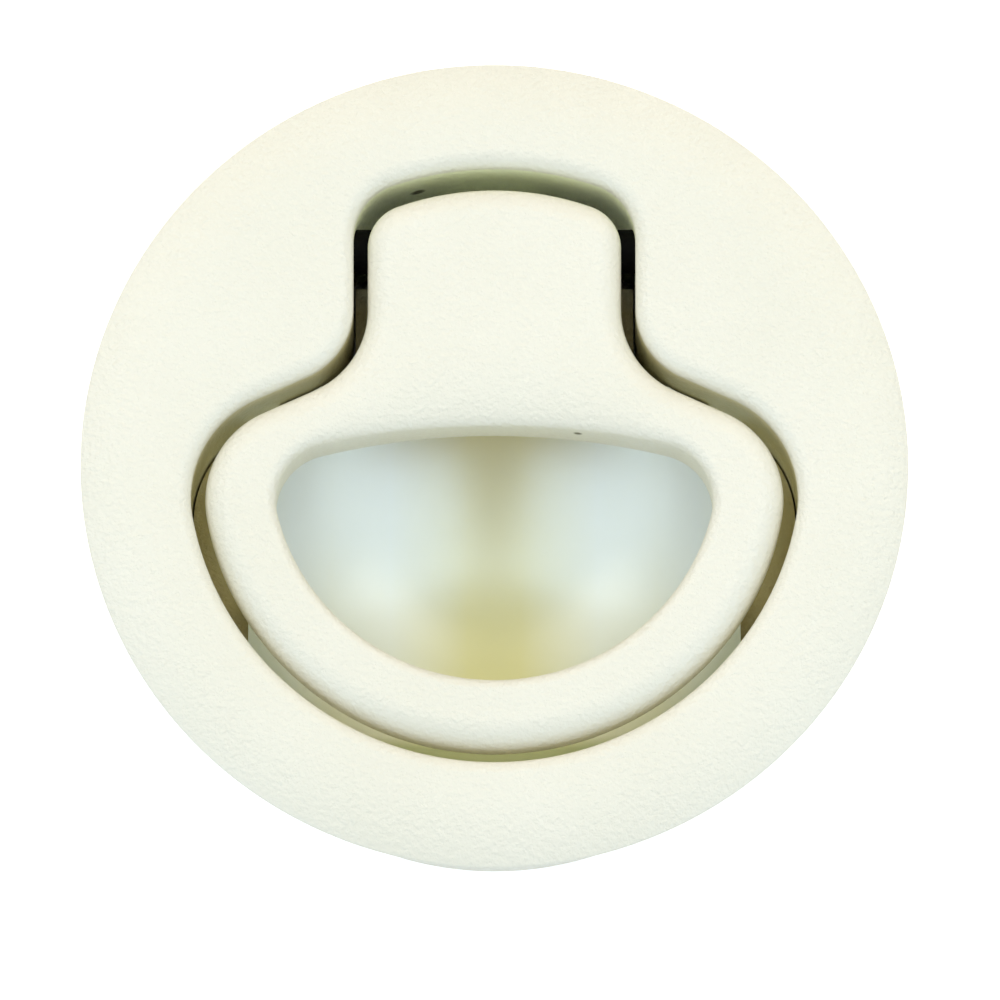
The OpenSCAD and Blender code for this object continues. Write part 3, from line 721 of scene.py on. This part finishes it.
def make_handle():
    outline = keyhole(HANDLE_GAP, RECESS_R - TAIL_GAP, NECK_CORNER_R - HANDLE_GAP)
    opening = d_opening()
    edge = BASE_EDGE_R
    rings = [level(outline, -BASE_ROUND * (1 - z), HANDLE_BASE + BASE_ROUND * x) for x, z in quarter(12)]
    rings += [level(outline, -HANDLE_ROUND * x, FACE_Z - HANDLE_ROUND * (1 - z)) for x, z in quarter(14)]
    piece = skin("moulded_handle", rings)
    rings = [level(opening, edge, HANDLE_BASE - CUT)]
    rings += [level(opening, edge * x, HANDLE_BASE + edge * (1 - z)) for x, z in reversed(quarter(4))]
    rings += [d_edge_level(opening, math.pi / 2 * (1 - i / 16)) for i in range(17)]
    rings.append([p + Vector((0, 0, CUT)) for p in rings[-1]])
    cut(piece, skin("d_cut", rings))
    for side in SIDES:
        start, end = sorted((side * HUB_W / 2, side * (HUB_W / 2 + POCKET_W)))
        cut(piece, hinge_rod("pocket", POCKET_R, start, end))
    skirt_from, skirt_to = HUB_W / 2 + POCKET_W, NECK_HALF - HANDLE_GAP - SKIRT_INSET
    low, high = HINGE.z - LUG_R - CUT, HINGE.z + LUG_R + CUT
    for start, end in ((-HUB_W / 2, HUB_W / 2), (skirt_from, skirt_to), (-skirt_to, -skirt_from)):
        lug = hinge_rod("lug", LUG_R, start, end)
        keep_inside(lug, skin("inside", [level(outline, -SKIRT_INSET, z) for z in (low, high)]))
        add(piece, lug)
    tilt = Matrix.Translation(HINGE) @ Matrix.Rotation(math.radians(FINGER_TILT), 4, "X")
    tip = FINGER_T / 2
    finger = box("finger", (-FINGER_W / 2, -tip, -FINGER_LEN), (FINGER_W / 2, tip, 0))
    add(finger, rod("tip", tip, (-FINGER_W / 2, 0, -FINGER_LEN), (FINGER_W / 2, 0, -FINGER_LEN), 48))
    add(piece, place(finger, tilt))
    cut(piece, hinge_rod("bore", PIN_R + PIN_PLAY, -NECK_HALF * 2, NECK_HALF * 2))
    return dress(piece, "pull_handle", "handle_body", HANDLE_IVORY)


# Finger bowl: a smooth round scoop on legs that stand on the cover

BOWL_OVERLAP = 4.3 * MM
BOWL_END = D_APEX_Y + BOWL_OVERLAP
SEAT_WALL = 2.8 * MM
SPRING_SEAT = BOWL_LOW.y + SEAT_WALL
FINGER_SLOT_START = 10.65 * MM
ARCH_HALF = BOLT_HALF + 2.35 * MM
BOLT_MID = (BOLT_LOW.z + BOLT_TOP) / 2
BOLT_SPRING_X = BOLT_HALF / 2
PEG_R = 1.65 * MM
PEG_LEN = 3 * MM


def ball(name, r):
    """A ball about the scoop's centre, with its poles to the left and right."""
    rows = 128
    turns = [math.pi * i / rows for i in range(1, rows)]
    piece = lathe(name, [(r * math.sin(a), -r * math.cos(a)) for a in turns], 256)
    centre = Matrix.Translation((0, SCOOP_Y, BOWL_FLOOR + SCOOP_R))
    return place(piece, centre @ Matrix.Rotation(math.pi / 2, 4, "Y"))


def make_bowl():
    outline = keyhole(0, RECESS_R, NECK_CORNER_R)
    floor = COVER_TOP
    piece = skin("moulded_bowl", [level(outline, -SEAT_PLAY, z) for z in (floor, BOWL_RIM)])
    block = box("block", (-BOWL_HALF, -BARREL_R, floor - CUT), (BOWL_HALF, BOWL_END, BOWL_RIM + CUT))
    keep_inside(piece, block)
    inner = BOWL_HALF - BOWL_WALL
    far = BOWL_END - BOWL_WALL
    hollow = box("hollow", (-inner, -BARREL_R - CUT, floor - CUT), (inner, far, BOWL_RIM - BOWL_WALL))
    cut(piece, cut(hollow, ball("shell", SCOOP_R + BOWL_WALL)))
    seat = box("seat", (-BOLT_HALF, -BARREL_R, floor), (BOLT_HALF, SPRING_SEAT, BOWL_RIM))
    inside = skin("inside", [level(outline, -SEAT_PLAY, z) for z in (floor - CUT, BOWL_RIM + CUT)])
    keep_inside(seat, inside)
    add(piece, seat)
    neck = NECK_HALF - SEAT_PLAY
    add(piece, box("shelf", (-neck, BOWL_END - BOWL_WALL / 2, SHELF_LOW), (neck, SHELF_END, SHELF_TOP)))
    flange = skin("flange", [level(outline, -SEAT_PLAY, z) for z in (SHELF_LOW, SHELF_TOP)])
    low, high = SHELF_LOW - CUT, SHELF_TOP + CUT
    keep_inside(flange, box("room", (-BARREL_R, -BARREL_R, low), (BARREL_R, BOWL_END, high)))
    add(piece, flange)
    scoop = ball("scoop", SCOOP_R)
    near = box("near", (-BARREL_R, -BARREL_R, BOWL_FLOOR - CUT), (BARREL_R, far, BOWL_RIM + CUT))
    keep_inside(scoop, near)
    cut(piece, scoop)
    arch_start, arch_top = BOWL_END - 2 * BOWL_WALL, BOLT_TOP + 2 * SLIDE_PLAY
    cut(piece, box("arch", (-ARCH_HALF, arch_start, floor - CUT), (ARCH_HALF, BOWL_END + CUT, arch_top)))
    reach = FINGER_W / 2 + FINGER_PLAY
    cut(piece, box("slot", (-reach, FINGER_SLOT_START, low), (reach, SHELF_END + CUT, high)))
    for side in SIDES:
        x = side * BOLT_SPRING_X
        foot, tip = SPRING_SEAT - CUT, SPRING_SEAT + PEG_LEN
        add(piece, rod("peg", PEG_R, (x, foot, BOLT_MID), (x, tip, BOLT_MID), 32))
    dress(piece, "finger_bowl", "housing_body", BOWL_IVORY)
    piece.data.materials.append(BODY_IVORY)
    centre = Vector((0, SCOOP_Y, BOWL_FLOOR + SCOOP_R))
    for face in piece.data.polygons:
        face.material_index = 0 if abs((face.center - centre).length - SCOOP_R) < 0.05 * MM else 1
    return piece


# Smaller pieces

AXIS_R = 0.01 * MM
SINK_R = 2.95 * MM
SINK_DEPTH = 1.85 * MM
THREAD_PLAY = 0.15 * MM


def make_pin():
    half, edge = PIN_HIGH.x, 0.3 * MM
    profile = [(PIN_R - edge, -half), (PIN_R, -half + edge), (PIN_R, half - edge), (PIN_R - edge, half)]
    piece = lathe("turned_pin", profile, 64)
    place(piece, Matrix.Translation(HINGE) @ Matrix.Rotation(math.pi / 2, 4, "Y"))
    return dress(piece, "hinge_pin", "housing_body", BLACK)


def make_gasket():
    inner, outer, edge = BARREL_R + SEAT_PLAY, GASKET_HIGH.x, 0.2 * MM
    corners = [(inner, GASKET_LOW.z), (outer, GASKET_LOW.z), (outer, GASKET_HIGH.z), (inner, GASKET_HIGH.z)]
    profile = rounded([(x, z, edge) for x, z in corners], 3)
    piece = lathe("cut_gasket", profile, 192, loop=True)
    return dress(piece, "flange_gasket", "housing_body", RUBBER)


def make_nut():
    inner, outer, edge = BARREL_R + THREAD_PLAY, NUT_HIGH.x, 0.4 * MM
    corners = [(inner, NUT_LOW.z), (outer, NUT_LOW.z), (outer, NUT_HIGH.z), (inner, NUT_HIGH.z)]
    piece = lathe("moulded_nut", rounded([(x, z, edge) for x, z in corners], 4), 240, loop=True)
    grips, notch_r, depth = 12, 2 * MM, 0.9 * MM
    for i in range(grips):
        a = 2 * math.pi * (i + 0.5) / grips
        p = (outer + notch_r - depth) * Vector((math.cos(a), math.sin(a)))
        cut(piece, rod("notch", notch_r, (p.x, p.y, NUT_LOW.z - CUT), (p.x, p.y, NUT_HIGH.z - depth), 48))
    return dress(piece, "ring_nut", "housing_body", IVORY)


def make_bolt():
    half, nose, tip, bevel = BOLT_HIGH.x, BOLT_HIGH.y, 1.2 * MM, 6.5 * MM
    rear = BOLT_REAR
    side_view = rounded(
        [
            (rear, BOLT_LOW.z, 0.4 * MM),
            (nose - bevel, BOLT_LOW.z, 2 * MM),
            (nose, BOLT_TOP - tip, 0.5 * MM),
            (nose, BOLT_TOP, 0.4 * MM),
            (rear, BOLT_TOP, 0.4 * MM),
        ]
    )
    edge = 0.35 * MM
    rings = []
    for x, inset in ((-half, edge), (-half + edge, 0), (half - edge, 0), (half, edge)):
        middle = Vector(((rear + nose) / 2, (BOLT_LOW.z + BOLT_TOP) / 2))
        size = Vector(((nose - rear) / 2, (BOLT_TOP - BOLT_LOW.z) / 2))
        shrink = Vector((1 - inset / size.x, 1 - inset / size.y))
        points = [middle + (Vector(p) - middle) * shrink for p in side_view]
        rings.append([Vector((x, p.x, p.y)) for p in points])
    piece = skin("moulded_bolt", rings)
    post_y = HINGE.y + FINGER_LEN * math.sin(math.radians(FINGER_TILT)) - FINGER_T / 2 - 0.3 * MM
    post_half = FINGER_W / 2 + 1 * MM
    add(piece, box("post", (-post_half, post_y - 4 * MM, BOLT_TOP - CUT), (post_half, post_y, BOLT_HIGH.z)))
    for s in SIDES:
        x = s * BOLT_SPRING_X
        add(piece, rod("peg", PEG_R, (x, rear + CUT, BOLT_MID), (x, rear - PEG_LEN, BOLT_MID), 32))
    return dress(piece, "latch_bolt", "bolt_body", BLACK)


def make_cover():
    edge = 0.5 * MM
    low, top = COVER_LOW.z, COVER_TOP
    corners = [(AXIS_R, low, 0), (BARREL_R, low, edge), (BARREL_R, top, 0.2 * MM), (AXIS_R, top, 0)]
    piece = lathe("moulded_cover", rounded(corners, 4), 240)
    half = BOLT_HALF + SLIDE_PLAY
    rail_w, rail_h = 1.6 * MM, 3 * MM
    for side in SIDES:
        left, right = sorted((side * half, side * (half + rail_w)))
        add(piece, box("rail", (left, BOLT_REAR, top - CUT), (right, LEDGE_START - CUT, top + rail_h)))
    for p in BOSSES:
        cut(piece, rod("hole", SCREW_R + SLIDE_PLAY, (p.x, p.y, low - CUT), (p.x, p.y, top + CUT), 48))
        cut(piece, rod("sink", SINK_R, (p.x, p.y, low - CUT), (p.x, p.y, low + SINK_DEPTH), 64))
    return dress(piece, "back_cover", "housing_body", IVORY)


def make_screws():
    head_r, head_h, sink, reach = 2.7 * MM, 1.7 * MM, 0.15 * MM, 10 * MM
    low = COVER_LOW.z + sink
    profile = rounded(
        [
            (AXIS_R, low, 0),
            (head_r, low, 0.4 * MM),
            (head_r, low + head_h, 0),
            (SCREW_R, low + head_h, 0),
            (SCREW_R, low + reach, 0.5 * MM),
            (AXIS_R, low + reach, 0),
        ],
        4,
    )
    piece = lathe("cross_head_screws", profile, 64)
    for turn in (0, math.pi / 2):
        slot = box("cross", (-1.6 * MM, -0.35 * MM, low - CUT), (1.6 * MM, 0.35 * MM, low + 0.9 * MM))
        cut(piece, place(slot, Matrix.Rotation(turn, 4, "Z")))
    one = piece.data.copy()
    place(piece, Matrix.Translation(BOSSES[0].to_3d()))
    for p in BOSSES[1:]:
        other = bpy.data.objects.new("screw", one.copy())
        bpy.context.scene.collection.objects.link(other)
        add(piece, place(other, Matrix.Translation(p.to_3d())))
    return dress(piece, "cover_screws", "housing_body", STEEL)


# Springs: the handle's coils between housing and handle, the bolt's coils between the bowl's seat and the bolt


def make_bolt_spring(side, name, node):
    wire_r, coil_r, turns = 0.3 * MM, 2.2 * MM, 9
    start, end = SPRING_SEAT + wire_r, BOLT_REAR - wire_r
    steps = 30 * turns
    path = []
    for i in range(steps + 1):
        a = 2 * math.pi * turns * i / steps
        y = start + (end - start) * i / steps
        x, z = side * BOLT_SPRING_X + coil_r * math.cos(a), BOLT_MID + coil_r * math.sin(a)
        path.append(Vector((x, y, z)))
    piece = wire(name, path, Vector((0, 1, 0)), wire_r)
    dress(piece, node, "housing_body", STEEL, 60)
    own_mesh(piece)


def leg_angle(p, coil_r, side):
    """Angle at which a straight leg to a point leaves the coil."""
    return math.atan2(p.y, p.x) + side * math.acos(coil_r / p.length)


def make_handle_spring(side, name, node):
    wire_r, turns = 0.35 * MM, 4
    coil_r = PIN_R + 0.6 * MM + wire_r
    start_x = HUB_W / 2 + wire_r + SLIDE_PLAY
    end_x = HUB_W / 2 + POCKET_W - wire_r - SLIDE_PLAY
    lift_y = (POCKET_R + RECESS_R - TAIL_GAP - HINGE.y) / 2
    lift = Vector((lift_y, HANDLE_BASE - wire_r - HINGE.z))
    rest = Vector((SHELF_END - 3 * MM - HINGE.y, SHELF_TOP + wire_r - HINGE.z))
    first = leg_angle(lift, coil_r, -1)
    last = leg_angle(rest, coil_r, 1) - 2 * math.pi * (turns + 1)
    steps = 36 * turns
    path = [Vector((start_x, lift.x, lift.y))]
    for i in range(steps + 1):
        a = first + (last - first) * i / steps
        x = start_x + (end_x - start_x) * i / steps
        path.append(Vector((x, coil_r * math.cos(a), coil_r * math.sin(a))))
    path.append(Vector((end_x, rest.x, rest.y)))
    path = [HINGE + Vector((side * p.x, p.y, p.z)) for p in path]
    piece = wire(name, path, Vector((side, 0, 0)), wire_r)
    dress(piece, node, None, STEEL, 60)
    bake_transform(piece)


# Stage: floor, light and camera

CAMERA_TILT = 14.1
CAMERA_REACH = 2500 * MM
PIXELS = 1000
PIXELS_PER_MM = 13.04
CENTRE_PIXEL = Vector((494.4, 464.8))
SENSOR = 36
LAMP_REACH = 0.8
FLOOR_HALF = 3


def make_floor():
    half = FLOOR_HALF
    corners = [(-half, -half, 0), (half, -half, 0), (half, half, 0), (-half, half, 0)]
    floor = mesh_object("floor", corners, [(0, 1, 2, 3)])
    floor.location.z = cad_low.z
    n = Nodes("pale_floor")
    n.bsdf.inputs["Base Color"].default_value = (0.86, 0.86, 0.86, 1)
    n.bsdf.inputs["Roughness"].default_value = 0.9
    path = n.tree.nodes.new("ShaderNodeLightPath")
    seen = n.tree.nodes.new("ShaderNodeMath")
    seen.operation = "MAXIMUM"
    n.link(path.outputs["Is Camera Ray"], seen.inputs[0])
    n.link(path.outputs["Is Glossy Ray"], seen.inputs[1])
    glow = n.tree.nodes.new("ShaderNodeEmission")
    glow.inputs["Strength"].default_value = 0.6
    bright = n.tree.nodes.new("ShaderNodeAddShader")
    n.link(n.bsdf.outputs["BSDF"], bright.inputs[0])
    n.link(glow.outputs["Emission"], bright.inputs[1])
    mix = n.tree.nodes.new("ShaderNodeMixShader")
    n.link(seen.outputs["Value"], mix.inputs["Fac"])
    n.link(n.bsdf.outputs["BSDF"], mix.inputs[1])
    n.link(bright.outputs["Shader"], mix.inputs[2])
    n.link(mix.outputs["Shader"], n.tree.nodes["Material Output"].inputs["Surface"])
    floor.data.materials.append(n.material)


def make_world():
    world = bpy.data.worlds.new("studio")
    world.use_nodes = True
    bpy.context.scene.world = world
    tree = world.node_tree
    lit = tree.nodes["Background"]
    lit.inputs["Color"].default_value = (1, 0.97, 0.93, 1)
    lit.inputs["Strength"].default_value = 0.38
    white = tree.nodes.new("ShaderNodeBackground")
    path = tree.nodes.new("ShaderNodeLightPath")
    mix = tree.nodes.new("ShaderNodeMixShader")
    tree.links.new(path.outputs["Is Camera Ray"], mix.inputs["Fac"])
    tree.links.new(lit.outputs["Background"], mix.inputs[1])
    tree.links.new(white.outputs["Background"], mix.inputs[2])
    tree.links.new(mix.outputs["Shader"], tree.nodes["World Output"].inputs["Surface"])


def softbox(name, way, size, power, colour):
    """A rectangular lamp in a direction from the object, turned to it."""
    lamp = bpy.data.lights.new(name, "AREA")
    lamp.shape = "RECTANGLE"
    lamp.size, lamp.size_y = size
    lamp.energy = power
    lamp.color = colour
    holder = bpy.data.objects.new(name, lamp)
    bpy.context.scene.collection.objects.link(holder)
    way = Vector(way).normalized()
    holder.location = way * LAMP_REACH
    holder.rotation_euler = way.to_track_quat("Z", "Y").to_euler()


def make_lights():
    cold, cool, warm = (0.72, 0.9, 1), (0.8, 0.92, 1), (1, 0.86, 0.66)
    for side, word in zip(SIDES, ("left", "right")):
        softbox(f"{word}_box", (0.54 * side, 0.12, 0.83), (0.66, 0.8), 2.25, cool)
        softbox(f"{word}_back_box", (0.5 * side, 0.62, 0.6), (0.5, 0.4), 1.15, warm)
        softbox(f"{word}_front_box", (0.72 * side, -0.58, 0.38), (0.5, 0.5), 1.7, cold)
    softbox("top_box", (0, 0.84, 0.54), (0.9, 0.2), 0.55, warm)


def make_camera():
    data = bpy.data.cameras.new("camera")
    data.sensor_width = SENSOR
    data.lens = SENSOR * CAMERA_REACH * PIXELS_PER_MM / (PIXELS * MM)
    camera = bpy.data.objects.new("camera", data)
    bpy.context.scene.collection.objects.link(camera)
    tilt = math.radians(CAMERA_TILT)
    back = Vector((0, -math.sin(tilt), math.cos(tilt)))
    up = Vector((0, math.cos(tilt), math.sin(tilt)))
    right = Vector((1, 0, 0))
    off = (Vector((PIXELS / 2, PIXELS / 2)) - CENTRE_PIXEL) / PIXELS_PER_MM * MM
    target = Vector((0, 0, FLANGE_Z + RIM_T)) + right * off.x - up * off.y
    camera.location = target + back * CAMERA_REACH
    camera.rotation_mode = "QUATERNION"
    camera.rotation_quaternion = Matrix((right, up, back)).transposed().to_quaternion()
    bpy.context.scene.camera = camera


make_camera()
make_housing()
make_handle()
make_bowl()
make_pin()
make_gasket()
make_nut()
make_bolt()
make_cover()
make_screws()
for side, word in zip(SIDES, ("left", "right")):
    make_bolt_spring(side, f"coiled_bolt_spring_{word}", f"bolt_spring_{word}")
    make_handle_spring(side, f"coiled_handle_spring_{word}", f"torsion_spring_{word}")
make_floor()
make_world()
make_lights()
bpy.context.scene.view_settings.view_transform = "Standard"
